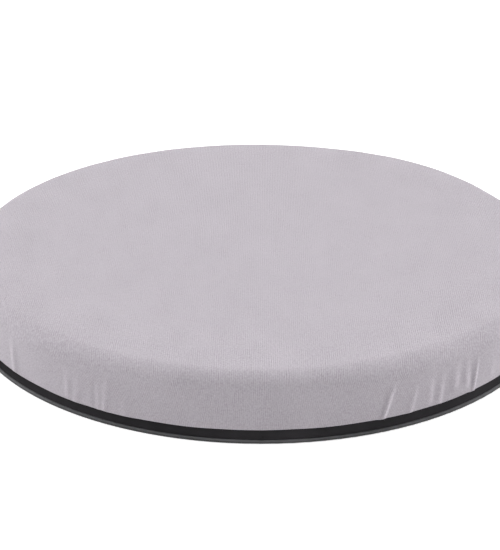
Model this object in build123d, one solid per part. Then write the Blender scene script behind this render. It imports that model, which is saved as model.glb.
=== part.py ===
from build123d import *
import os

# Round swivel cushion: a fabric-covered foam pad on a board, screwed to a moulded swivel plate that
# turns on a ring of balls over a moulded base plate. Millimetres, +Z up. The origin is on the swivel
# axis, at the level of the surface that the grip pads stand on.

# ---- outline ----
base_radius = 200.0  # rounded lip of the base plate, the widest rigid edge
cover_radius = 199.6  # fabric, at its straight side
total_height = 45.6  # top of the fabric
shoulder_radius = 9.2  # fabric rounding between top and side
cover_thickness = 0.8

# ---- base plate ----
base_low = 0.4  # the grip pads stand this far proud below the plate
base_high = 2.7
lip_round_high = 1.1
lip_round_low = 0.5
base_rib_high = 4.0
base_race_high = 3.6
centre_boss_radius = 24.0
centre_boss_high = 6.2
recess_radius = 17.0  # counterbore under the centre boss, for the rivet's lower flange
recess_high = 4.4
rivet_hole_radius = 6.2
access_hole_radius = 5.5  # lets each pad screw be reached in turn
groove_radii = (60.0, 100.0, 156.0)  # shallow moulded rings in the underside
groove_width = 1.4
groove_depth = 0.4

# ---- ribs, alike on both plates ----
rib_count = 12
rib_width = 1.6
rib_ring_radius = 76.0
outer_rib_end = 188.0

# ---- grip pads ----
grip_count = 8
grip_ring_radius = 172.0
grip_radius = 11.0
grip_high = 1.6
grip_gap = 0.1

# ---- ball bearing ----
ball_count = 24
ball_radius = 2.5
ball_level = 4.8
race_radius = 140.0
race_half_width = 6.0
race_channel_half = 2.8
race_clearance = 0.08  # above and below the balls
cage_half_width = 4.5
cage_low = 4.0
cage_high = 5.6
pocket_radius = 2.8
cage_slot_length = 16.0
cage_slot_width = 3.6

# ---- swivel plate ----
skirt_low = 3.0  # 0.3 mm of running gap over the base plate
skirt_radius_low = 199.2
skirt_radius_high = 198.3  # the skirt slopes in towards the fabric, as moulding draft
skirt_inner_radius = 197.0
skirt_edge_round = 0.15
web_low = 7.0
web_high = 9.4
swivel_rib_low = 5.2
swivel_race_low = 6.0
hub_bore_radius = 8.3
spacer_radius = 5.0
spacer_ring_inner = 22.0
spacer_ring_outer = 29.0
staple_channel_inner = 178.0
staple_channel_outer = 188.0
staple_channel_depth = 0.8
gate_mark = (0.8, 0.6, 1.1)  # width, depth and height of the moulding gate's vestige
gate_mark_offset = 3.5  # to the right of the front centre line

# ---- pivot ----
rivet_shank_radius = 6.0
rivet_bore_radius = 4.8
rivet_low = 2.2
rivet_high = 12.3
rivet_flange_low_radius = 10.0
rivet_flange_low_thickness = 1.2
rivet_flange_high_radius = 11.0
rivet_flange_high_thickness = 1.5
rivet_edge_round = 0.5
washer_bottom_radius = 15.0
washer_top_radius = 16.0
bush_inner_radius = 6.05
bush_outer_radius = 8.25
bush_high = 9.6
thrust_inner_radius = 8.6
thrust_outer_radius = 22.0
thrust_high = 6.9
cap_radius = 16.95
cap_thickness = 0.9
cap_wall = 1.2
cap_high = 3.2

# ---- board, foam and fasteners ----
board_low = 10.2
board_high = 13.2
board_edge_round = 0.6
board_hole_radius = 19.0
hem_inner_radius = 168.0
hem_edge_round = 1.4
screw_count = 6
screw_ring_radius = 120.0
screw_first_angle = 15.0  # midway between two ribs
screw_hole_radius = 2.0
screw_head_radius = 3.3
screw_head_low = 5.0
screw_shank_radius = 1.7
screw_point = 1.4  # height of the pointed end
screw_tip_high = 13.0
screw_slot = (0.9, 4.2, 0.9)  # width, length and depth of each arm of the cross recess
pilot_radius = 1.5
staple_count = 30
staple_ring_radius = 183.0
staple_crown = 10.0
staple_wire = 0.7
staple_tip_high = 12.2

foam_radius = cover_radius - cover_thickness
foam_high = total_height - cover_thickness
foam_round = shoulder_radius - cover_thickness
bottom_aligned = (Align.CENTER, Align.CENTER, Align.MIN)
level_slack = 0.001  # for finding an edge by its level


def disc(radius, low, high):
    return Pos(0, 0, low) * Cylinder(radius, high - low, align=bottom_aligned)


def ring(inner, outer, low, high):
    return disc(outer, low, high) - disc(inner, low, high)


def around(shape, count, first_angle=0.0):
    """Copies of a shape, evenly spaced about the swivel axis."""
    step = 360.0 / count
    return [Rot(0, 0, first_angle + step * i) * shape for i in range(count)]


def rounded(solid, level, amount):
    """Rounds the outermost round edge of a solid at one level."""
    circles = solid.edges().filter_by(GeomType.CIRCLE)
    edges = circles.filter_by_position(Axis.Z, level - level_slack, level + level_slack)
    return fillet(edges.sort_by(SortBy.RADIUS)[-1], amount)


def rib(inner, outer, low, high):
    """One straight radial rib along +X."""
    middle = (inner + outer) / 2
    return Pos(middle, 0, low) * Box(outer - inner, rib_width, high - low, align=bottom_aligned)


def rib_set(inner, low, high):
    """Radial ribs each side of the race, and one ring rib. They run a little way into both bosses."""
    overlap = 1.0
    inner_rib = rib(inner, race_radius - race_half_width + overlap, low, high)
    outer_rib = rib(race_radius + race_half_width - overlap, outer_rib_end, low, high)
    ribs = around(inner_rib, rib_count) + around(outer_rib, rib_count)
    half = rib_width / 2
    return ribs + [ring(rib_ring_radius - half, rib_ring_radius + half, low, high)]


def race_boss(low, high):
    return ring(race_radius - race_half_width, race_radius + race_half_width, low, high)


def race_channel():
    """The flat-bottomed tracks that the balls roll in, in both plates at once."""
    reach = ball_radius + race_clearance
    inner = race_radius - race_channel_half
    outer = race_radius + race_channel_half
    return ring(inner, outer, ball_level - reach, ball_level + reach)


def base_plate():
    plate = disc(base_radius, base_low, base_high)
    plate = rounded(plate, base_high, lip_round_high)
    plate = rounded(plate, base_low, lip_round_low)
    plate += disc(centre_boss_radius, base_low, centre_boss_high)
    plate += race_boss(base_low, base_race_high)
    plate += rib_set(centre_boss_radius - 1.0, base_high - 0.5, base_rib_high)
    plate -= race_channel()
    plate -= disc(recess_radius, base_low, recess_high)
    plate -= disc(rivet_hole_radius, recess_high, centre_boss_high)
    pocket = Pos(grip_ring_radius, 0, 0) * disc(grip_radius + grip_gap, base_low, grip_high)
    plate -= around(pocket, grip_count, 180.0 / grip_count)
    access = Pos(screw_ring_radius, 0, 0) * disc(access_hole_radius, base_low, base_high)
    plate -= Rot(0, 0, screw_first_angle) * access
    for radius in groove_radii:
        half = groove_width / 2
        plate -= ring(radius - half, radius + half, base_low, base_low + groove_depth)
    return plate


def grip_pad():
    """A round rubber pad at the first pad's place, with a softened lower edge."""
    pad = disc(grip_radius, 0.0, grip_high)
    pad = rounded(pad, 0.0, 0.3)
    return Rot(0, 0, 180.0 / grip_count) * Pos(grip_ring_radius, 0, 0) * pad


def pivot_rivet():
    rivet = ring(rivet_bore_radius, rivet_shank_radius, rivet_low, rivet_high)
    flange_low_top = rivet_low + rivet_flange_low_thickness
    flange_high_bottom = rivet_high - rivet_flange_high_thickness
    rivet += ring(rivet_bore_radius, rivet_flange_low_radius, rivet_low, flange_low_top)
    rivet += ring(rivet_bore_radius, rivet_flange_high_radius, flange_high_bottom, rivet_high)
    rivet = rounded(rivet, rivet_low, rivet_edge_round)
    return rounded(rivet, rivet_high, rivet_edge_round)


def rivet_washer_bottom():
    low = rivet_low + rivet_flange_low_thickness
    return ring(rivet_hole_radius, washer_bottom_radius, low, recess_high)


def rivet_washer_top():
    high = rivet_high - rivet_flange_high_thickness
    return ring(rivet_hole_radius, washer_top_radius, bush_high, high)


def pivot_bush():
    return ring(bush_inner_radius, bush_outer_radius, centre_boss_high, bush_high)


def thrust_washer():
    return ring(thrust_inner_radius, thrust_outer_radius, centre_boss_high, thrust_high)


def pivot_cap():
    """A shallow cup, open upward, that closes the recess under the rivet."""
    cup = disc(cap_radius, base_low, cap_high)
    cup -= disc(cap_radius - cap_wall, base_low + cap_thickness, cap_high)
    return rounded(cup, base_low, 0.3)


def ball_cage():
    """The spacing ring: a pocket for each ball, and a slot midway between every two."""
    cage = ring(race_radius - cage_half_width, race_radius + cage_half_width, cage_low, cage_high)
    pocket = Pos(race_radius, 0, 0) * disc(pocket_radius, cage_low, cage_high)
    outline = SlotOverall(cage_slot_length, cage_slot_width, rotation=90)
    slot = Pos(race_radius, 0, cage_low) * extrude(outline, cage_high - cage_low)
    cage -= around(pocket, ball_count)
    cage -= around(slot, ball_count, 180.0 / ball_count)
    return cage


def bearing_ball():
    return Pos(race_radius, 0, ball_level) * Sphere(ball_radius)


def plate_shell():
    """The swivel plate's flat web and its drafted skirt, turned as one section."""
    section = Polyline(
        (hub_bore_radius, web_low),
        (skirt_inner_radius, web_low),
        (skirt_inner_radius, skirt_low),
        (skirt_radius_low, skirt_low),
        (skirt_radius_high, web_high),
        (hub_bore_radius, web_high),
        close=True,
    )
    shell = revolve(Plane.XZ * make_face(section), Axis.Z)
    return rounded(shell, skirt_low, skirt_edge_round)


def swivel_plate():
    plate = plate_shell()
    plate += race_boss(swivel_race_low, web_low + 0.5)
    plate += rib_set(spacer_ring_outer, swivel_rib_low, web_low + 0.5)
    plate += ring(spacer_ring_inner, spacer_ring_outer, web_low + 0.5, board_low)
    spacer = Pos(screw_ring_radius, 0, 0) * disc(spacer_radius, web_low + 0.5, board_low)
    plate += around(spacer, screw_count, screw_first_angle)
    hole = Pos(screw_ring_radius, 0, 0) * disc(screw_hole_radius, web_low, board_low)
    plate -= around(hole, screw_count, screw_first_angle)
    plate -= race_channel()
    channel_low = web_high - staple_channel_depth
    plate -= ring(staple_channel_inner, staple_channel_outer, channel_low, web_high)
    width, depth, height = gate_mark
    mark_y = -skirt_radius_low + depth / 2 - 0.2
    plate += Pos(gate_mark_offset, mark_y, skirt_low + 0.5) * Box(
        width, depth, height, align=bottom_aligned
    )
    return plate


def backing_board():
    board = ring(board_hole_radius, foam_radius, board_low, board_high)
    board = rounded(board, board_low, board_edge_round)
    pilot = Pos(screw_ring_radius, 0, 0) * disc(pilot_radius, board_low, board_high)
    board -= around(pilot, screw_count, screw_first_angle)
    return board


def foam_pad():
    return rounded(disc(foam_radius, board_high, foam_high), foam_high, foam_round)


def cushion_cover():
    """The fabric skin: top, rounded shoulder, side, and a hem turned in under the board."""
    skin = disc(cover_radius, web_high, total_height)
    skin = rounded(skin, total_height, shoulder_radius)
    skin = rounded(skin, web_high, hem_edge_round)
    filling = disc(foam_radius, board_low, foam_high)
    filling = rounded(filling, foam_high, foam_round)
    filling = rounded(filling, board_low, board_edge_round)
    return skin - filling - disc(hem_inner_radius, web_high, board_low)


def cover_staple():
    """One wire staple: the crown lies under the hem, and both legs go up into the board."""
    crown_low = web_high - staple_wire
    crown = Pos(staple_ring_radius, 0, crown_low) * Box(
        staple_wire, staple_crown, staple_wire, align=bottom_aligned
    )
    leg_offset = (staple_crown - staple_wire) / 2
    for side in (-leg_offset, leg_offset):
        crown += Pos(staple_ring_radius, side, crown_low) * Box(
            staple_wire, staple_wire, staple_tip_high - crown_low, align=bottom_aligned
        )
    return crown


def pad_screw():
    """One self-tapping screw, driven up from below, with a cross recess in its head."""
    screw = disc(screw_head_radius, screw_head_low, web_low)
    screw = rounded(screw, screw_head_low, 0.9)
    width, length, depth = screw_slot
    for turn in (0, 90):
        arm = Box(width, length, depth, align=bottom_aligned)
        screw -= Pos(0, 0, screw_head_low) * Rot(0, 0, turn) * arm
    point_low = screw_tip_high - screw_point
    screw += disc(screw_shank_radius, web_low, point_low)
    screw += Pos(0, 0, point_low) * Cone(
        screw_shank_radius, 0.3, screw_point, align=bottom_aligned
    )
    return Pos(screw_ring_radius, 0, 0) * screw


def numbered(name, shapes):
    return {f"{name}_{i:02d}": shape for i, shape in enumerate(shapes, 1)}


def all_parts():
    parts = {
        "base_plate": base_plate(),
        "pivot_rivet": pivot_rivet(),
        "rivet_washer_bottom": rivet_washer_bottom(),
        "rivet_washer_top": rivet_washer_top(),
        "pivot_bush": pivot_bush(),
        "thrust_washer": thrust_washer(),
        "pivot_cap": pivot_cap(),
        "ball_cage": ball_cage(),
        "swivel_plate": swivel_plate(),
        "backing_board": backing_board(),
        "foam_pad": foam_pad(),
        "cushion_cover": cushion_cover(),
        "cover_staples": Compound(around(cover_staple(), staple_count)),
        "pad_screws": Compound(around(pad_screw(), screw_count, screw_first_angle)),
    }
    parts.update(numbered("grip_pad", around(grip_pad(), grip_count)))
    parts.update(numbered("bearing_ball", around(bearing_ball(), ball_count)))
    return parts


os.makedirs("parts", exist_ok=True)
for name, shape in all_parts().items():
    export_step(shape, f"parts/{name}.step")
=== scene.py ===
"""Looks of the round swivel cushion: fabric cover, foam, moulded plates and bearing, in metres."""

import math

import bpy
import numpy as np
from mathutils import Matrix, Vector


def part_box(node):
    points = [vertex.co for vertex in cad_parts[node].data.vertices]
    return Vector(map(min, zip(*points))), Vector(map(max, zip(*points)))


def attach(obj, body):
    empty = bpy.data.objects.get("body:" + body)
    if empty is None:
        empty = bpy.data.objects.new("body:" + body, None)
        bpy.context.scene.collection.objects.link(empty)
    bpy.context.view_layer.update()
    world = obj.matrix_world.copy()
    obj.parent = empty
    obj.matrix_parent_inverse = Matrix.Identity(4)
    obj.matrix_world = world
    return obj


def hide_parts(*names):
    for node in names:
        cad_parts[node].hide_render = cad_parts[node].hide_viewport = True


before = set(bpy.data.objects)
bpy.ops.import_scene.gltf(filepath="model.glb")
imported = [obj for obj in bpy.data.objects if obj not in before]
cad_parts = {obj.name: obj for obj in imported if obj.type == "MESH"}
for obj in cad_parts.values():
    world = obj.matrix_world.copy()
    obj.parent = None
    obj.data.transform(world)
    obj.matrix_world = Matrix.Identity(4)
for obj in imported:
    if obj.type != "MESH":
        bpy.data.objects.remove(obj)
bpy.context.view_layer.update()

MM = 0.001
TAU = 2 * math.pi

# ---- sizes read from the frame ----
COVER_LOW, COVER_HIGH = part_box("cushion_cover")
FOAM_LOW, FOAM_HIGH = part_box("foam_pad")
BOARD_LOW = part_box("backing_board")[0]
SIDE_RADIUS = COVER_HIGH.x  # the fabric's straight side
TOP_LEVEL = COVER_HIGH.z
WEB_LEVEL = COVER_LOW.z  # top of the swivel plate's web, where the hem lies

# ---- the fabric cover's section ----
SHOULDER = 8.9 * MM  # rounding between top and side
FLAT_RADIUS = SIDE_RADIUS - SHOULDER  # where the flat top ends
SHOULDER_FOOT = TOP_LEVEL - SHOULDER  # level where the straight side begins
CROWN = 0.9 * MM  # how far the middle of the top stands above its edge
FABRIC = 0.75 * MM
EDGE_ROUND = 0.9 * MM  # where the fabric turns under
EDGE_DROP = 0.2 * MM  # the edge hangs this far below the web's top, just outside the skirt
HEM_INNER = 170 * MM  # radius of the hem's inner edge
HEM_GAP = 0.03 * MM
HEM_RISE = 1.2 * MM  # the width over which the hem rises from the edge onto the web
INNER_WALL_FOOT = 5 * MM  # height above the hem of the inner wall's first row of points

# ---- the cover's mesh ----
TOP_ROWS = 15
SHOULDER_ROWS = 14
SIDE_ROWS = 20
EDGE_ROWS = 7
HEM_ROWS = 3
COLUMNS = 1400  # columns round the cushion
CREASE_DENSITY = 4  # extra columns at a crease for each column elsewhere


# ======================================================================= mesh helpers

def distances_along(points):
    """How far along a polyline section each of its points lies."""
    steps = np.hypot(*np.diff(points, axis=0).T)
    return np.concatenate([[0], np.cumsum(steps)])


def section_point(points, distances):
    """Points at given distances along a polyline section, as (radius, level) rows."""
    points = np.array(points)
    along = distances_along(points)
    return np.stack([np.interp(distances, along, points[:, i]) for i in (0, 1)], axis=1)


def arc(centre, radius, start, end, count):
    """Points of an arc in section, angles in degrees from straight out (+radius) towards up."""
    angles = np.radians(np.linspace(start, end, count))
    return [(centre[0] + radius * math.cos(a), centre[1] + radius * math.sin(a)) for a in angles]


def even_turn(count):
    """Evenly spaced azimuths, in radians to the right of the front."""
    return np.arange(count) / count * TAU


def turned_section(section, azimuth):
    """Grids of a section's radius, its level and the azimuth, with one row for each section point."""
    section = np.array(section)
    radius = np.repeat(section[:, :1], len(azimuth), axis=1)
    level = np.repeat(section[:, 1:], len(azimuth), axis=1)
    turn = np.repeat(azimuth[None, :], len(section), axis=0)
    return radius, level, turn


def around(radius, turn, *level):
    """The x, the y and, if a level is given, the z of points at a radius and an azimuth."""
    return np.stack([radius * np.sin(turn), -radius * np.cos(turn), *level], axis=-1)


def angle_from(middle, azimuth):
    """The angle from middle to azimuth the short way round, in radians."""
    return (azimuth - middle + math.pi) % TAU - math.pi


def ring_faces(rings, columns):
    """Quads between neighbouring rings of points."""
    here = np.repeat(np.arange(rings - 1), columns) * columns
    there = here + columns
    column = np.tile(np.arange(columns), rings - 1)
    beside = (column + 1) % columns
    return np.stack([here + column, here + beside, there + beside, there + column], axis=1)


def make_object(name, vertices, faces, material):
    mesh = bpy.data.meshes.new(name)
    mesh.from_pydata(vertices, [], faces)
    mesh.validate()
    mesh.materials.append(material)
    mesh.polygons.foreach_set("use_smooth", [True] * len(mesh.polygons))
    mesh.update()
    made = bpy.data.objects.new(name, mesh)
    bpy.context.scene.collection.objects.link(made)
    return made


def turned_shell(name, grid, flat, material):
    """A closed shell from rings whose first and last are single points on the axis.

    flat holds the same points as they lie on the uncut cloth, which the "cloth" UV map keeps in metres.
    """
    rings, columns = grid.shape[:2]
    body = grid[1:-1].reshape(-1, 3)
    flat_body = flat[1:-1].reshape(-1, 2)
    vertices = np.vstack([body, grid[0, :1], grid[-1, :1]])
    sheet = np.vstack([flat_body, flat[0, :1], flat[-1, :1]])
    quads = ring_faces(rings - 2, columns)[:, ::-1].tolist()
    first = len(body)
    last = first + 1
    base = (rings - 3) * columns
    fans = [(first, j, (j + 1) % columns) for j in range(columns)]
    fans += [(last, base + (j + 1) % columns, base + j) for j in range(columns)]
    made = make_object(name, vertices.tolist(), quads + fans, material)
    layer = made.data.uv_layers.new(name="cloth")
    corners = np.zeros(len(made.data.loops), np.int32)
    made.data.loops.foreach_get("vertex_index", corners)
    layer.data.foreach_set("uv", sheet[corners].astype(np.float32).ravel())
    return made


# ======================================================================= material helpers

class Nodes:
    """A short way to write a node tree."""

    def __init__(self, tree):
        self.tree = tree

    def add(self, kind, **settings):
        """A new node; each setting is an attribute of the node or the name of an input."""
        node = self.tree.nodes.new(kind)
        for key, value in settings.items():
            if hasattr(node, key):
                setattr(node, key, value)
            else:
                node.inputs[key].default_value = value
        return node

    def link(self, out, into):
        self.tree.links.new(out, into)

    def math(self, operation, a, b=None, clamp=False):
        node = self.add("ShaderNodeMath", operation=operation, use_clamp=clamp)
        for socket, value in zip(node.inputs, (a, b)):
            if value is None:
                continue
            if isinstance(value, (int, float)):
                socket.default_value = value
            else:
                self.link(value, socket)
        return node.outputs[0]

    def weighted(self, *parts):
        """The sum of some values, each given with its weight."""
        total = None
        for value, weight in parts:
            part = self.math("MULTIPLY", value, weight)
            total = part if total is None else self.math("ADD", total, part)
        return total

    def span(self, value, low, high):
        """Maps 0..1 to low..high."""
        return self.math("ADD", self.math("MULTIPLY", value, high - low), low)

    def coords(self):
        return self.add("ShaderNodeTexCoord").outputs["Object"]

    def noise(self, coords, scale, detail=3.0, roughness=0.5):
        """Noise of one scale, or of a scale for each axis, in features a metre."""
        if isinstance(scale, tuple):
            coords = self.stretch(coords, scale)
            scale = 1.0
        node = self.add("ShaderNodeTexNoise", Scale=scale, Detail=detail, Roughness=roughness)
        self.link(coords, node.inputs["Vector"])
        return node.outputs["Fac"]

    def stretch(self, coords, scale):
        node = self.add("ShaderNodeMapping", Scale=scale)
        self.link(coords, node.inputs["Vector"])
        return node.outputs["Vector"]

    def ramp(self, value, low, high, dark, light):
        """A colour between dark and light as value goes from low to high."""
        node = self.add("ShaderNodeValToRGB")
        first, second = node.color_ramp.elements
        first.position, second.position = low, high
        first.color, second.color = (*dark, 1), (*light, 1)
        self.link(value, node.inputs["Fac"])
        return node.outputs["Color"]

    def brighten(self, colour, factor):
        node = self.add("ShaderNodeVectorMath", operation="SCALE")
        self.link(colour, node.inputs[0])
        self.link(factor, node.inputs["Scale"])
        return node.outputs["Vector"]

    def split(self, vector):
        node = self.add("ShaderNodeSeparateXYZ")
        self.link(vector, node.inputs[0])
        return node.outputs

    def length(self, vector):
        node = self.add("ShaderNodeVectorMath", operation="LENGTH")
        self.link(vector, node.inputs[0])
        return node.outputs["Value"]

    def surface(self, colour, roughness, height, depth, strength):
        """Gives the Principled shader a colour, a roughness and a relief of a depth in metres."""
        shader = self.tree.nodes["Principled BSDF"]
        bump = self.add("ShaderNodeBump", Distance=depth, Strength=strength)
        self.link(height, bump.inputs["Height"])
        self.link(colour, shader.inputs["Base Color"])
        self.link(roughness, shader.inputs["Roughness"])
        self.link(bump.outputs["Normal"], shader.inputs["Normal"])


def new_material(name, colour, roughness, **constants):
    """A material with one Principled shader, and the helper for its nodes."""
    material = bpy.data.materials.new(name)
    material.use_nodes = True
    shader = material.node_tree.nodes["Principled BSDF"]
    shader.inputs["Base Color"].default_value = (*colour, 1)
    shader.inputs["Roughness"].default_value = roughness
    for key, value in constants.items():
        shader.inputs[key.replace("_", " ")].default_value = value
    material.diffuse_color = (*colour, 1)
    return material, Nodes(material.node_tree)


# ======================================================================= fabric

WALE_PITCH = 1.27 * MM
COURSE_PITCH = 0.9 * MM
WALE_WANDER = 6.5  # how far the wales wander sideways, in radians of their pitch
COURSE_WANDER = 9.0
BOLDER_FROM = 135 * MM  # the cloth from the middle to where the pattern begins to show more
BOLDER_OVER = 45 * MM  # the cloth over which it comes to show in full
RIDGE_HIGHLIGHT = 0.5  # painted highlight: how much paler the knit is painted along the sharpest ridge


def knit(nodes, sheet):
    """The height of the knit's wales, which show more in some patches than others, and of its loops."""
    apart = nodes.split(sheet)
    wobble = nodes.noise(sheet, (130, 45, 1), 2.0)
    across = nodes.math("MULTIPLY", apart["X"], TAU / WALE_PITCH)
    across = nodes.math("ADD", across, nodes.math("MULTIPLY", wobble, WALE_WANDER))
    along = nodes.math("MULTIPLY", apart["Y"], TAU / COURSE_PITCH)
    along = nodes.math("ADD", along, nodes.math("MULTIPLY", wobble, COURSE_WANDER))
    patches = nodes.noise(sheet, (110, 95, 1), 2.0)
    wales = nodes.math("MULTIPLY", nodes.math("SINE", across), nodes.span(patches, -0.9, 2.3))
    loops = nodes.math("MULTIPLY", wales, nodes.math("SINE", along))
    return wales, loops


def fabric_material():
    """Brushed lilac-grey weft knit. Its wales run front to back over the top and down the sides.

    A point attribute of the mesh paints light and shade on the creases: above 0 on a ridge, a paler
    painted highlight, up to about 1 on the sharpest one, and below 0 in a furrow, painted shade.
    """
    material, nodes = new_material(
        "lilac_grey_knit", (0.395, 0.366, 0.4), 0.92,
        Sheen_Weight=0.12, Sheen_Roughness=0.45, Specular_IOR_Level=0.15,
    )
    sheet = nodes.add("ShaderNodeUVMap", uv_map="cloth").outputs["UV"]
    wales, loops = knit(nodes, sheet)
    streak = nodes.noise(sheet, (850, 300, 1), 2.0, 0.6)
    grain = nodes.noise(sheet, (1150, 800, 1), 2.0, 0.65)
    mottle = nodes.noise(sheet, (380, 300, 1), 2.0)
    blotch = nodes.noise(sheet, (34, 22, 1))
    shade = nodes.weighted((streak, 0.20), (grain, 0.60), (mottle, 0.08), (blotch, 0.12), (wales, 0.075))
    past = nodes.math("SUBTRACT", nodes.length(sheet), BOLDER_FROM)
    contrast = nodes.span(nodes.math("DIVIDE", past, BOLDER_OVER, clamp=True), 0.88, 1.38)
    shade = nodes.math("ADD", nodes.math("MULTIPLY", nodes.math("SUBTRACT", shade, 0.5), contrast), 0.5)
    colour = nodes.ramp(shade, 0.26, 0.74, (0.302, 0.279, 0.306), (0.488, 0.453, 0.494))
    # painted light and shade on the creases: paler along the ridges, darker in the furrows
    painted_crease_light = nodes.add("ShaderNodeAttribute", attribute_name="painted_crease_light").outputs["Fac"]
    painted_crease_colour = nodes.brighten(colour, nodes.span(painted_crease_light, 1.0, 1.0 + RIDGE_HIGHLIGHT))
    height = nodes.weighted((wales, 0.45), (loops, 0.25), (streak, 0.8), (grain, 0.9))
    nodes.surface(painted_crease_colour, nodes.span(grain, 0.84, 0.98), height, 0.14 * MM, 0.9)
    return material


# Pull creases in the side. Each row gives:
# - degrees to the right of the front,
# - heights in mm above the hem where the ridge starts and ends,
# - lean to the right over its height, ridge height (below 0 for a trough) and half-width, in mm,
# - depth of the furrow on its right as a share of the ridge, below 0 for a furrow on its left.
CREASES = (
    (22.0, -4, 24, 7.4, 0.95, 1.2, -0.28),
    (27.3, -4, 20, 4.2, 0.48, 1.5, -0.2),
    (31.2, 1, 24, 1.4, 0.50, 1.8, 0.4),
    (33.4, -2, 22, 2.0, 0.46, 1.7, 0.3),
    (35.9, 2, 24, 0.0, -0.22, 2.4, 0.0),
    (37.0, 6, 27, 0.6, 0.52, 2.3, 0.4),
    (39.9, 3, 29, -2.0, 0.54, 1.9, 0.0),
    (40.7, 3, 27, 1.0, -0.20, 2.0, 0.0),
    (41.4, -4, 24, 2.6, 1.00, 1.0, -0.2),
    (44.8, 1, 38, 0.0, 0.70, 9.0, 0.0),
    (46.3, 2, 19, 1.2, 0.20, 2.4, -0.3),
    (-23.4, -2, 14, 0.6, 0.20, 1.7, 0.2),
    (-27.2, -4, 29, 3.2, 0.29, 1.5, 0.3),
    (-28.4, -4, 22, 0.2, 0.19, 1.2, 0.0),
    (-29.3, -2, 22, 0.2, -0.22, 1.5, 0.0),
    (-33.4, -4, 22, 2.2, 0.28, 2.3, 0.3),
    (-35.1, 0, 23, 0.4, 0.35, 1.9, 0.5),
    (-49.5, -2, 27, -1.0, 0.42, 2.0, 0.6),
    (-58.0, 0, 16, -0.8, 0.34, 1.8, 0.3),
    (71.0, -4, 20, -1.5, 0.48, 1.6, 0.4),
    (74.5, 0, 17, 0.5, 0.38, 1.5, -0.3),
    (103.0, 0, 18, 1.0, 0.40, 1.9, 0.4),
    (128.0, -4, 21, 3.6, 0.85, 1.1, -0.2),
    (131.5, 0, 17, 0.8, 0.44, 1.7, -0.4),
    (134.2, 2, 22, 0.4, -0.36, 2.0, 0.0),
    (137.0, 0, 22, -0.6, 0.52, 1.6, 0.4),
    (160.0, 0, 15, 0.5, 0.30, 1.9, -0.3),
    (-96.0, 0, 18, 1.2, 0.42, 1.7, -0.4),
    (-118.0, 0, 16, -0.8, 0.38, 1.8, 0.4),
    (-141.0, -4, 22, -4.0, 0.90, 1.1, 0.2),
    (-144.5, 0, 18, 0.6, 0.46, 1.7, 0.4),
    (-149.0, 0, 20, 1.0, 0.50, 1.5, -0.4),
)
SWELL = 4.0  # mm over which a ridge swells, so one that starts well below the hem meets it at full height
SHARP = 2.4  # a ridge wider than this, in mm, is a bend rather than a pull, so it gets little painted light and shade
WIDENING = 0.4  # how much wider a crease is at its top
LEAN_AT_MIDDLE = 0.4  # the share of its lean that a crease has where it shows most
FURROW_AWAY = 1.8  # the furrow's distance from the ridge, in half-widths of the ridge
FURROW_WIDTH = 1.4  # the furrow's half-width, in the same
HIGHLIGHT_WIDTH = 0.8  # the half-width of the painted highlight along the ridge, in the same

# Slow changes round the cushion, each with degrees to the right of the front, half-width in degrees, mm.
# Where the low edge hangs lower:
SAGS = ((-27, 17, 0.6), (10, 12, -0.15), (92, 20, 0.4), (158, 14, -0.15), (-112, 22, 0.35))
# Where the shoulder stands higher:
RISES = ((141, 18, 1.1), (103, 20, -1.9), (180, 40, -0.3), (-120, 50, -0.2))
# Where the shoulder is rounder, as more radius:
ROUNDER = ((-58, 34, 3.6), (35, 18, 2.6), (170, 25, 0.6))

# Quicker small waves round the cushion: how many, their phase and their size.
WAVES = ((3, 0.4, 0.30), (7, 2.1, 0.24), (16, 0.9, 0.18), (29, 4.0, 0.16), (53, 1.7, 0.12))
SIDE_WAVE = 0.12 * MM  # their size on the side
EDGE_WAVE = 0.16 * MM  # and how far they lift and drop the low edge
EDGE_PUSH = 0.2  # how far a ridge lifts the low edge, as a share of its height
EDGE_PULL = 0.7  # how far the furrow beside it draws the low edge down, as a share of the same
EDGE_REACH = 7 * MM  # height above the hem over which the low edge's changes die out
CREASE_REACH = 2.5 * MM  # how far in from the side, over the shoulder, the creases die out


def creased(azimuth, level):
    """How far creases push the side out, the light and shade they paint on it, and how far they draw its
    edge down.
    """
    push = np.zeros_like(azimuth)
    painted_crease_light = np.zeros_like(azimuth)
    pull = np.zeros_like(azimuth)
    height = (level - WEB_LEVEL) / MM
    for degrees, start, end, lean, ridge, width, furrow in CREASES:
        up = np.clip(height / end, 0, 1)
        away = angle_from(math.radians(degrees) + lean * MM * up / SIDE_RADIUS, azimuth)
        across = away * SIDE_RADIUS / (width * MM * (1 + WIDENING * up))
        fade = (1 - up ** 3) ** 1.5 * np.clip((height - start) / SWELL, 0, 1)
        crest = fade * np.exp(-(across ** 2))
        hollow = fade * np.exp(-(((across - FURROW_AWAY * np.sign(furrow)) / FURROW_WIDTH) ** 2))
        push += ridge * MM * (crest - abs(furrow) * hollow)
        # painted highlight along the ridge and painted shade in its furrow, strongest on sharp ridges
        pulled = min(1, SHARP / width) ** 3
        line = fade * np.exp(-((across / HIGHLIGHT_WIDTH) ** 2))
        painted_crease_light += pulled * ridge * (line - abs(furrow) * hollow)
        pull += abs(ridge) * MM * hollow
    return push, painted_crease_light, pull


def slow_bumps(azimuth, bumps):
    """The sum of some wide bumps round the cushion, such as SAGS or RISES."""
    total = np.zeros_like(azimuth)
    for degrees, width, size in bumps:
        away = angle_from(math.radians(degrees), azimuth)
        total += size * MM * np.exp(-((away / math.radians(width)) ** 2))
    return total


def soft_waves(azimuth):
    """An uneven wave round the cushion, between about -1 and 1."""
    return sum(size * np.sin(count * azimuth + phase) for count, phase, size in WAVES)


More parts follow.
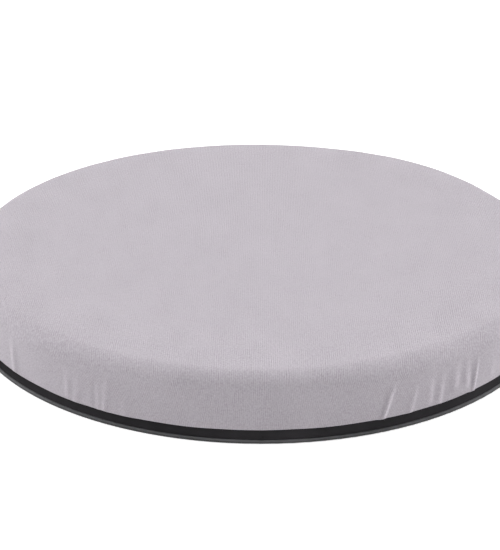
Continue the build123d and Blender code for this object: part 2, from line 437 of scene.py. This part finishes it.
def column_azimuths():
    """The mesh columns' azimuths from 0 to a full turn: evenly spaced, but closer about each crease."""
    fine = np.linspace(0, TAU, 20001)
    density = np.ones_like(fine)
    for degrees, _, _, lean, _, width, _ in CREASES:
        middle = math.radians(degrees) + LEAN_AT_MIDDLE * lean * MM / SIDE_RADIUS
        reach = (3.2 * width + 0.5 * abs(lean)) * MM / SIDE_RADIUS
        closer = CREASE_DENSITY * np.exp(-((angle_from(middle, fine) / reach) ** 4))
        density = np.maximum(density, 1 + closer)
    total = np.concatenate([[0], np.cumsum((density[1:] + density[:-1]) / 2)])
    return np.interp(np.arange(COLUMNS) / COLUMNS * total[-1], total, fine)


def outer_section():
    """The cover's outer section, from the middle of the top to the hem's inner edge."""
    centre = (FLAT_RADIUS, SHOULDER_FOOT)
    edge_centre = (SIDE_RADIUS - EDGE_ROUND, WEB_LEVEL - EDGE_DROP + EDGE_ROUND)
    hem_level = WEB_LEVEL + HEM_GAP
    section = [(r, TOP_LEVEL) for r in centre[0] * np.linspace(0, 1, TOP_ROWS) ** 0.75][:-1]
    section += arc(centre, SHOULDER, 90, 0, SHOULDER_ROWS)
    section += [(SIDE_RADIUS, z) for z in np.linspace(centre[1], edge_centre[1], SIDE_ROWS + 2)[1:-1]]
    section += arc(edge_centre, EDGE_ROUND, 0, -90, EDGE_ROWS)
    section += [(r, hem_level) for r in np.linspace(edge_centre[0] - HEM_RISE, HEM_INNER, HEM_ROWS)]
    return section


def inner_section():
    """The cover's inner section, from the hem's inner edge back to the middle of the top."""
    centre = (FLAT_RADIUS, SHOULDER_FOOT)
    inside = SIDE_RADIUS - FABRIC
    inner_top = TOP_LEVEL - FABRIC
    hem_top = BOARD_LOW.z - HEM_GAP
    section = [(HEM_INNER, hem_top), (inside, hem_top)]
    section += [(inside, z) for z in np.linspace(hem_top + INNER_WALL_FOOT, centre[1], 3)]
    section += arc(centre, SHOULDER - FABRIC, 0, 90, 6)[1:]
    section += [(r, inner_top) for r in centre[0] * np.linspace(1, 0, 4)[1:]]
    return section


# ---- the skin's cloth simulation ----
SIM_COLUMNS = 240
SIM_TOP_RINGS = 12
SIM_SIDE_RINGS = 21
SIM_INNERMOST = 20 * MM  # radius of the innermost ring, which one face closes
SIM_FRAMES = 16
SIM_CAP = 0.35 * MM  # how far the firm foam lets the skin move
SIM_PRESSURE = 3.0
SIM_FADE = 12 * MM  # with SHOULDER, the cloth past the flat top over which the unevenness grows
STAPLE_COUNT = 30
STAPLE_PULL = 0.8 * MM  # how far a staple draws the low edge in
STAPLE_WIDTH = 1.6  # half-width of a staple's pull, in radians divided by the number of staples
HARMONICS = 60  # waves round the cushion kept from the simulation


def simulation_grid(section):
    """Distances along the section, and the rings that the skin starts from, one row per distance."""
    total = distances_along(section)[-1]
    over_top = np.linspace(SIM_INNERMOST, FLAT_RADIUS, SIM_TOP_RINGS)
    down_side = np.linspace(FLAT_RADIUS, total, SIM_SIDE_RINGS + 1)[1:]
    distances = np.concatenate([over_top, down_side])
    radius, level, turn = turned_section(section_point(section, distances), even_turn(SIM_COLUMNS))
    strength = np.random.default_rng(11).uniform(0.35, 1.0, STAPLE_COUNT)
    for index, share in enumerate(strength):
        away = angle_from((index + 0.5) / STAPLE_COUNT * TAU, turn[-1])
        radius[-1] -= share * STAPLE_PULL * np.exp(-((away * STAPLE_COUNT / STAPLE_WIDTH) ** 2))
    return distances, around(radius, turn, level)


def run_cloth(vertices, faces, pinned):
    """Blows the skin up from within while its low edge is held; returns where its points settle."""
    scene = bpy.context.scene
    mesh = bpy.data.meshes.new("skin_trial")
    mesh.from_pydata(vertices, [], faces)
    skin = bpy.data.objects.new("skin_trial", mesh)
    scene.collection.objects.link(skin)
    skin.vertex_groups.new(name="held").add(pinned, 1.0, "REPLACE")
    cloth = skin.modifiers.new("cloth", "CLOTH")
    settings = cloth.settings
    settings.vertex_group_mass = "held"
    settings.quality = 6
    settings.mass = 0.2
    settings.tension_stiffness = 25
    settings.compression_stiffness = 25
    settings.shear_stiffness = 10
    settings.bending_stiffness = 0.5
    settings.use_pressure = True
    settings.uniform_pressure_force = SIM_PRESSURE
    settings.effector_weights.gravity = 0
    cloth.collision_settings.use_collision = False
    cloth.point_cache.frame_end = SIM_FRAMES
    for step in range(1, SIM_FRAMES + 1):
        scene.frame_set(step)
    settled = skin.evaluated_get(bpy.context.evaluated_depsgraph_get()).to_mesh()
    places = np.zeros(len(settled.vertices) * 3)
    settled.vertices.foreach_get("co", places)
    bpy.data.objects.remove(skin)
    bpy.data.meshes.remove(mesh)
    scene.frame_set(1)
    return places.reshape(-1, 3)


def smooth_rings(values, azimuth):
    """Each ring's values, kept to its slower waves and read at the given azimuths."""
    waves = np.fft.rfft(values, axis=1)[:, :HARMONICS] / values.shape[1]
    waves[:, 1:] *= 2
    turns = np.exp(1j * np.arange(HARMONICS)[:, None] * azimuth[None, :])
    return (waves @ turns).real


def settled_skin(section, azimuth, reach):
    """How far the staples' pull moves the skin outwards and upwards, at distances along the section.

    The drawn section already has the skin's mean shape, so only each ring's unevenness is kept.
    """
    distances, start = simulation_grid(section)
    rings = len(distances)
    faces = ring_faces(rings, SIM_COLUMNS)[:, ::-1].tolist()
    faces += [tuple(range(SIM_COLUMNS))]
    pinned = list(range((rings - 1) * SIM_COLUMNS, rings * SIM_COLUMNS))
    places = run_cloth(start.reshape(-1, 3).tolist(), faces, pinned).reshape(start.shape)
    outward = np.hypot(places[..., 0], places[..., 1])
    upward = places[..., 2]
    outward = outward - outward.mean(axis=1, keepdims=True)
    upward = upward - upward.mean(axis=1, keepdims=True)
    size = np.hypot(outward, upward) + 1e-9
    limit = SIM_CAP * np.tanh(size / SIM_CAP) / size
    side = np.clip((reach - FLAT_RADIUS) / (SHOULDER + SIM_FADE), 0, 1)[:, None]
    moved = []
    for values in (outward * limit, upward * limit):
        kept = smooth_rings(values, azimuth)
        columns = [np.interp(reach, distances, column) for column in kept.T]
        moved.append(np.stack(columns, axis=1) * side)
    return moved


def uneven_shoulder(radius, level, turn):
    """Makes the shoulder of the cover, or of the foam, rounder and higher in some places than others."""
    inward = 1 - np.clip((radius - FLAT_RADIUS) / SHOULDER, 0, 1)
    high = np.clip((level - SHOULDER_FOOT) / SHOULDER, 0, 1)
    near_rim = np.clip(radius / FLAT_RADIUS, 0, 1)
    near_shoulder = np.clip((level - WEB_LEVEL) / (SHOULDER_FOOT - WEB_LEVEL), 0, 1)
    rounder = slow_bumps(turn, ROUNDER)
    drawn_in = rounder * inward * near_rim * np.clip(3 * high, 0, 1)
    lift = high * near_rim ** 4 * slow_bumps(turn, RISES)
    return radius - drawn_in, level - rounder * (1 - high) * near_shoulder + lift


def crowned(radius, level):
    """How far the very slight crown of the top, which dies out at the shoulder, lifts a point."""
    share = np.clip(1 - (radius / FLAT_RADIUS) ** 2, 0, 1)
    high = np.clip((level - SHOULDER_FOOT) / SHOULDER, 0, 1)
    return CROWN * share * high


def pulled_side(radius, level, turn, outside):
    """Adds the creases and waves to the side and its low edge; also returns the light and shade painted
    on the creases.
    """
    near_side = np.clip((radius - (SIDE_RADIUS - CREASE_REACH)) / CREASE_REACH, 0, 1) * outside
    low_edge = np.clip(1 - (level - WEB_LEVEL) / EDGE_REACH, 0, 1) * near_side
    waves = soft_waves(turn)
    push, painted_crease_light, pull = creased(turn, level)
    radius = radius + near_side * (push + SIDE_WAVE * waves)
    rise = EDGE_WAVE * waves + EDGE_PUSH * push - EDGE_PULL * pull - slow_bumps(turn, SAGS)
    return radius, level + low_edge * rise, painted_crease_light * near_side


def build_cover(material):
    """The fabric skin as one closed shell: drawn in section, creased, then unevenly pulled by staples."""
    outer = outer_section()
    section = outer + inner_section()
    azimuth = column_azimuths()
    reach = distances_along(section)
    radius, level, turn = turned_section(section, azimuth)
    level = level + crowned(radius, level)
    radius, level = uneven_shoulder(radius, level, turn)
    outside = np.arange(len(section))[:, None] < len(outer)
    radius, level, painted_crease_light = pulled_side(radius, level, turn, outside)
    outward, upward = settled_skin(outer[:-HEM_ROWS], azimuth, reach[:len(outer)])
    radius[:len(outer)] += outward
    level[:len(outer)] += upward
    uncut = around(reach[:, None], turn)
    cover = turned_shell("fabric_cover", around(radius, turn, level), uncut, material)
    # the creases' painted light and shade, kept as a point attribute for the fabric material
    values = np.zeros(len(cover.data.vertices), np.float32)
    values[:painted_crease_light[1:-1].size] = painted_crease_light[1:-1].ravel()
    cover.data.attributes.new("painted_crease_light", "FLOAT", "POINT").data.foreach_set("value", values)
    return cover


# ======================================================================= foam

FOAM_COLUMNS = 192
FOAM_INSET = 0.5 * MM  # the visible foam keeps this far inside the CAD slab's side
FOAM_BELOW_TOP = 0.3 * MM
FOAM_ABOVE_FOOT = 0.05 * MM
FOAM_BEVEL = 0.6 * MM
FOAM_RIPPLE = 0.2 * MM  # waviness of the sawn side, nearly all of it inwards


def foam_material():
    """Open-cell polyurethane foam: cream, matt, with small pores and a yellowed skin."""
    material, nodes = new_material("cream_foam", (0.8, 0.74, 0.58), 0.95, Specular_IOR_Level=0.1)
    coords = nodes.coords()
    cells = nodes.add("ShaderNodeTexVoronoi", feature="F1", Scale=900.0)
    nodes.link(coords, cells.inputs["Vector"])
    patches = nodes.noise(coords, 25.0)
    colour = nodes.ramp(patches, 0.3, 0.75, (0.74, 0.66, 0.46), (0.84, 0.79, 0.64))
    nodes.surface(colour, nodes.span(patches, 0.88, 1.0), cells.outputs["Distance"], 0.6 * MM, 0.8)
    return material


def build_foam(material):
    """The foam slab with its rounded upper edge and the slight waviness of a sawn cut."""
    side = FOAM_HIGH.x - FOAM_INSET
    rounding = SHOULDER - FOAM_INSET
    top = FOAM_HIGH.z - FOAM_BELOW_TOP
    low = FOAM_LOW.z + FOAM_ABOVE_FOOT
    centre = (side - rounding, top - rounding)
    section = [(r, top) for r in centre[0] * np.linspace(0, 1, 12)][:-1]
    section += arc(centre, rounding, 90, 0, 9)
    section += [(side, z) for z in np.linspace(centre[1], low + FOAM_BEVEL, 8)[1:]]
    section += [(side - FOAM_BEVEL, low)] + [(r, low) for r in side * np.linspace(0.95, 0, 6)]
    radius, level, turn = turned_section(section, even_turn(FOAM_COLUMNS))
    past_flat = radius > centre[0]
    radius = radius + FOAM_RIPPLE * soft_waves(turn) * past_flat - FOAM_RIPPLE * past_flat
    radius, level = uneven_shoulder(radius, level, turn)
    return turned_shell("foam_core", around(radius, turn, level), around(radius, turn), material)


# ======================================================================= plastics, metals, wood

RIM_HIGHLIGHT_LOW = 1.3 * MM  # height at which the painted highlight on the base plate's rim begins
RIM_HIGHLIGHT_FADE = 0.9 * MM
RIM_HIGHLIGHT_INNER = 198.5 * MM


def rim_highlight(nodes, coords):
    """1 on the rounded upper edge of the base plate's rim, where a highlight is painted, 0 elsewhere."""
    rise = nodes.math("SUBTRACT", nodes.split(coords)["Z"], RIM_HIGHLIGHT_LOW)
    high = nodes.math("DIVIDE", rise, RIM_HIGHLIGHT_FADE, clamp=True)
    from_axis = nodes.length(nodes.stretch(coords, (1, 1, 0)))
    return nodes.math("MULTIPLY", high, nodes.math("GREATER_THAN", from_axis, RIM_HIGHLIGHT_INNER))


def moulded_plastic(name, colour, roughness, gloss, rim_highlight_strength=0.0):
    """Moulded polypropylene with a fine spark-eroded grain, faint flow marks, rubbed patches and, if
    asked, a highlight painted on the base plate's rim.
    """
    material, nodes = new_material(name, colour, roughness, Specular_IOR_Level=gloss)
    coords = nodes.coords()
    texture = nodes.noise(coords, 2600.0, 2.0, 0.6)
    flow = nodes.noise(coords, (9, 9, 30), 3.0, 0.55)
    rubbed = nodes.noise(coords, 70.0, 4.0, 0.65)
    light = tuple(c * 1.35 for c in colour)
    dark = tuple(c * 0.8 for c in colour)
    shade = nodes.ramp(nodes.weighted((flow, 0.6), (rubbed, 0.4)), 0.35, 0.68, dark, light)
    # painted highlight: the rounded top of the base plate's rim is made paler
    if rim_highlight_strength:
        shade = nodes.brighten(shade, nodes.span(rim_highlight(nodes, coords), 1.0, 1.0 + rim_highlight_strength))
    worn = nodes.span(rubbed, roughness - 0.1, roughness + 0.06)
    rough = nodes.math("ADD", worn, nodes.math("MULTIPLY", texture, 0.06))
    nodes.surface(shade, rough, texture, 0.06 * MM, 0.7)
    return material


def plain_plastic(name, colour, roughness):
    """Natural, unpigmented moulding: acetal, nylon or the ball cage."""
    material, nodes = new_material(name, colour, roughness)
    coords = nodes.coords()
    cloud = nodes.noise(coords, 120.0)
    fine = nodes.noise(coords, 1500.0, 2.0)
    warm = (colour[0] * 0.93, colour[1] * 0.9, colour[2] * 0.82)
    rough = nodes.span(fine, roughness - 0.06, roughness + 0.08)
    nodes.surface(nodes.ramp(cloud, 0.3, 0.7, warm, colour), rough, fine, 0.03 * MM, 0.5)
    return material


def rubber_material():
    """Black grip rubber: matt, finely pitted, a little dusty."""
    material, nodes = new_material("grip_rubber", (0.022, 0.022, 0.023), 0.82, Specular_IOR_Level=0.3)
    coords = nodes.coords()
    dust = nodes.noise(coords, 160.0, 5.0, 0.7)
    pits = nodes.noise(coords, 1400.0, 2.0)
    colour = nodes.ramp(dust, 0.45, 0.8, (0.02, 0.02, 0.021), (0.07, 0.068, 0.064))
    nodes.surface(colour, nodes.span(dust, 0.76, 0.95), pits, 0.1 * MM, 0.7)
    return material


def steel_material(name, colour, roughness, scratch):
    """Metal with fine turned or rolled marks and a slightly uneven plating."""
    material, nodes = new_material(name, colour, roughness, Metallic=1.0)
    coords = nodes.coords()
    marks = nodes.noise(coords, (400, 400, 2600), 2.0, 0.6)
    plating = nodes.noise(coords, 200.0, 4.0, 0.6)
    dark = tuple(c * 0.78 for c in colour)
    rough = nodes.span(marks, roughness - scratch, roughness + scratch)
    nodes.surface(nodes.ramp(plating, 0.3, 0.7, dark, colour), rough, marks, 0.02 * MM, 0.6)
    return material


def plywood_material():
    """Birch plywood: long grain on the faces, darker glue lines between the plies at the edge."""
    material, nodes = new_material("birch_plywood", (0.55, 0.4, 0.24), 0.7, Specular_IOR_Level=0.3)
    coords = nodes.coords()
    warp = nodes.noise(coords, (6, 30, 1))
    grain = nodes.noise(coords, (14, 420, 40), 4.0, 0.65)
    plies = nodes.math("SINE", nodes.math("MULTIPLY", nodes.split(coords)["Z"], TAU / MM))
    glue_lines = nodes.math("MULTIPLY", nodes.math("GREATER_THAN", plies, 0.9), 0.2)
    mixed = nodes.math("SUBTRACT", nodes.weighted((grain, 0.75), (warp, 0.25)), glue_lines)
    colour = nodes.ramp(mixed, 0.25, 0.7, (0.4, 0.26, 0.13), (0.66, 0.5, 0.32))
    nodes.surface(colour, nodes.span(grain, 0.6, 0.82), grain, 0.1 * MM, 0.6)
    return material


def paint_nodes():
    """Gives every CAD node that stays its own procedural material."""
    materials = {
        "swivel_plate": moulded_plastic("black_polypropylene", (0.0263, 0.0250, 0.0270), 0.7, 0.0),
        # the base plate's last argument paints a highlight on its rim
        "base_plate": moulded_plastic("charcoal_polypropylene", (0.052, 0.052, 0.054), 0.45, 0.06, 1.0),
        "pivot_cap": moulded_plastic("cap_polypropylene", (0.014, 0.014, 0.0145), 0.46, 0.4),
        "pivot_bush": plain_plastic("acetal", (0.8, 0.79, 0.75), 0.35),
        "thrust_washer": plain_plastic("nylon", (0.74, 0.71, 0.62), 0.4),
        "ball_cage": plain_plastic("cage_nylon", (0.66, 0.66, 0.62), 0.42),
        "backing_board": plywood_material(),
    }
    zinc = steel_material("zinc_plated_steel", (0.66, 0.66, 0.64), 0.34, 0.12)
    ball_steel = steel_material("bearing_steel", (0.7, 0.7, 0.71), 0.1, 0.04)
    rubber = rubber_material()
    for node in ("pivot_rivet", "rivet_washer_bottom", "rivet_washer_top", "cover_staples", "pad_screws"):
        materials[node] = zinc
    for node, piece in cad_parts.items():
        if node.startswith("bearing_ball"):
            materials[node] = ball_steel
        if node.startswith("grip_pad"):
            materials[node] = rubber
        if node in materials:
            piece.data.materials.clear()
            piece.data.materials.append(materials[node])


# ======================================================================= studio

CAMERA_DISTANCE = 1.0575
CAMERA_ELEVATION = 0.445  # radians above the floor, seen from the swivel axis
CAMERA_PITCH = 0.4302  # radians below level
CAMERA_YAW = -0.0058
CAMERA_ROLL = 0.0046
LENS = 98.2
SENSOR_WIDTH = 36.0

FLOOR_HALF = 12.0
FLOOR_COLOUR = (0.62, 0.62, 0.62)
FLOOR_DARK = (0.615, 0.615, 0.615)
FLOOR_LIGHT = (0.625, 0.625, 0.625)
BACKDROP_RADIUS = 11.5
BACKDROP_FOOT = -0.01
BACKDROP_HEIGHT = 6.0
BACKDROP_FACETS = 64
BACKDROP_GLOW = 1.3
WHITE = (1, 1, 1, 1)

# A soft box overhead, one each side, and a little light from all round. The floor glows slightly, as a
# studio's light table does, so the side is as bright low down as it is high up.
LIGHT_ALL_ROUND = 0.11
LIGHT_OVERHEAD = 9.0
LIGHT_LEFT = 3.8
LIGHT_RIGHT = 3.5
OVERHEAD_SPREAD = 20.0  # powers of the cosine: the higher, the smaller the soft box
SIDE_SPREAD = 4.0
SIDE_LIGHT_BACK = 20.0  # degrees behind straight left and right
FLOOR_GLOW = 0.7


def add_camera():
    data = bpy.data.cameras.new("camera")
    data.lens = LENS
    data.sensor_width = SENSOR_WIDTH
    camera = bpy.data.objects.new("camera", data)
    bpy.context.scene.collection.objects.link(camera)
    forward = Vector((
        math.sin(CAMERA_YAW) * math.cos(CAMERA_PITCH),
        math.cos(CAMERA_YAW) * math.cos(CAMERA_PITCH),
        -math.sin(CAMERA_PITCH),
    ))
    level_right = forward.cross(Vector((0, 0, 1))).normalized()
    level_up = level_right.cross(forward)
    right = level_right * math.cos(CAMERA_ROLL) + level_up * math.sin(CAMERA_ROLL)
    up = level_up * math.cos(CAMERA_ROLL) - level_right * math.sin(CAMERA_ROLL)
    turn = Matrix((right, up, -forward)).transposed().to_4x4()
    place = Vector((0, -math.cos(CAMERA_ELEVATION), math.sin(CAMERA_ELEVATION))) * CAMERA_DISTANCE
    camera.matrix_world = Matrix.Translation(place) @ turn
    bpy.context.scene.camera = camera


def glowing_material(name, colour, glow):
    """A matt material that gives off a little white light."""
    return new_material(
        name, colour, 1.0, Specular_IOR_Level=0.0, Emission_Color=WHITE, Emission_Strength=glow,
    )


def add_floor():
    """A pale floor that glows slightly."""
    material, nodes = glowing_material("pale_floor", FLOOR_COLOUR, FLOOR_GLOW)
    speckle = nodes.noise(nodes.coords(), 400.0, 2.0)
    shader = material.node_tree.nodes["Principled BSDF"]
    nodes.link(nodes.ramp(speckle, 0.3, 0.7, FLOOR_DARK, FLOOR_LIGHT), shader.inputs["Base Color"])
    half = FLOOR_HALF
    corners = [(-half, -half, 0), (half, -half, 0), (half, half, 0), (-half, half, 0)]
    floor = make_object("floor", corners, [(0, 1, 2, 3)], material)


def add_backdrop():
    """A plain white wall far behind, for views from low down. It is only seen: it sheds no light."""
    material, _ = glowing_material("backdrop_white", (0.0, 0.0, 0.0), BACKDROP_GLOW)
    rings = [(BACKDROP_RADIUS * math.sin(a), BACKDROP_RADIUS * math.cos(a), z)
             for z in (BACKDROP_FOOT, BACKDROP_HEIGHT) for a in even_turn(BACKDROP_FACETS)]
    wall = make_object("backdrop", rings, ring_faces(2, BACKDROP_FACETS).tolist(), material)
    wall.visible_diffuse = False
    wall.visible_glossy = False
    wall.visible_transmission = False
    wall.visible_shadow = False


def light_lobe(nodes, direction, toward, spread, strength):
    """Light that is strongest from one direction and falls off with a power of the cosine."""
    dot = nodes.add("ShaderNodeVectorMath", operation="DOT_PRODUCT")
    nodes.link(direction, dot.inputs[0])
    dot.inputs[1].default_value = toward
    ahead = nodes.math("MAXIMUM", dot.outputs["Value"], 0.0)
    return nodes.math("MULTIPLY", nodes.math("POWER", ahead, spread), strength)


def add_light():
    """A soft studio dome whose brightness depends only on direction."""
    world = bpy.data.worlds.new("studio")
    bpy.context.scene.world = world
    world.use_nodes = True
    nodes = Nodes(world.node_tree)
    direction = nodes.add("ShaderNodeTexCoord").outputs["Generated"]
    back = math.radians(SIDE_LIGHT_BACK)
    left = (-math.cos(back), math.sin(back), 0.0)
    right = (math.cos(back), math.sin(back), 0.0)
    overhead = light_lobe(nodes, direction, (0.0, 0.0, 1.0), OVERHEAD_SPREAD, LIGHT_OVERHEAD)
    from_left = light_lobe(nodes, direction, left, SIDE_SPREAD, LIGHT_LEFT)
    from_right = light_lobe(nodes, direction, right, SIDE_SPREAD, LIGHT_RIGHT)
    total = nodes.math("ADD", nodes.math("ADD", overhead, from_left), from_right)
    total = nodes.math("ADD", total, LIGHT_ALL_ROUND)
    background = world.node_tree.nodes["Background"]
    background.inputs["Color"].default_value = WHITE
    nodes.link(total, background.inputs["Strength"])
    bpy.context.scene.view_settings.view_transform = "Standard"


# ======================================================================= assembly

def main():
    add_camera()
    add_floor()
    add_backdrop()
    add_light()
    paint_nodes()
    cover = build_cover(fabric_material())
    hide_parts("cushion_cover")
    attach(cover, "cushion")
    foam = build_foam(foam_material())
    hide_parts("foam_pad")
    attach(foam, "cushion")


main()
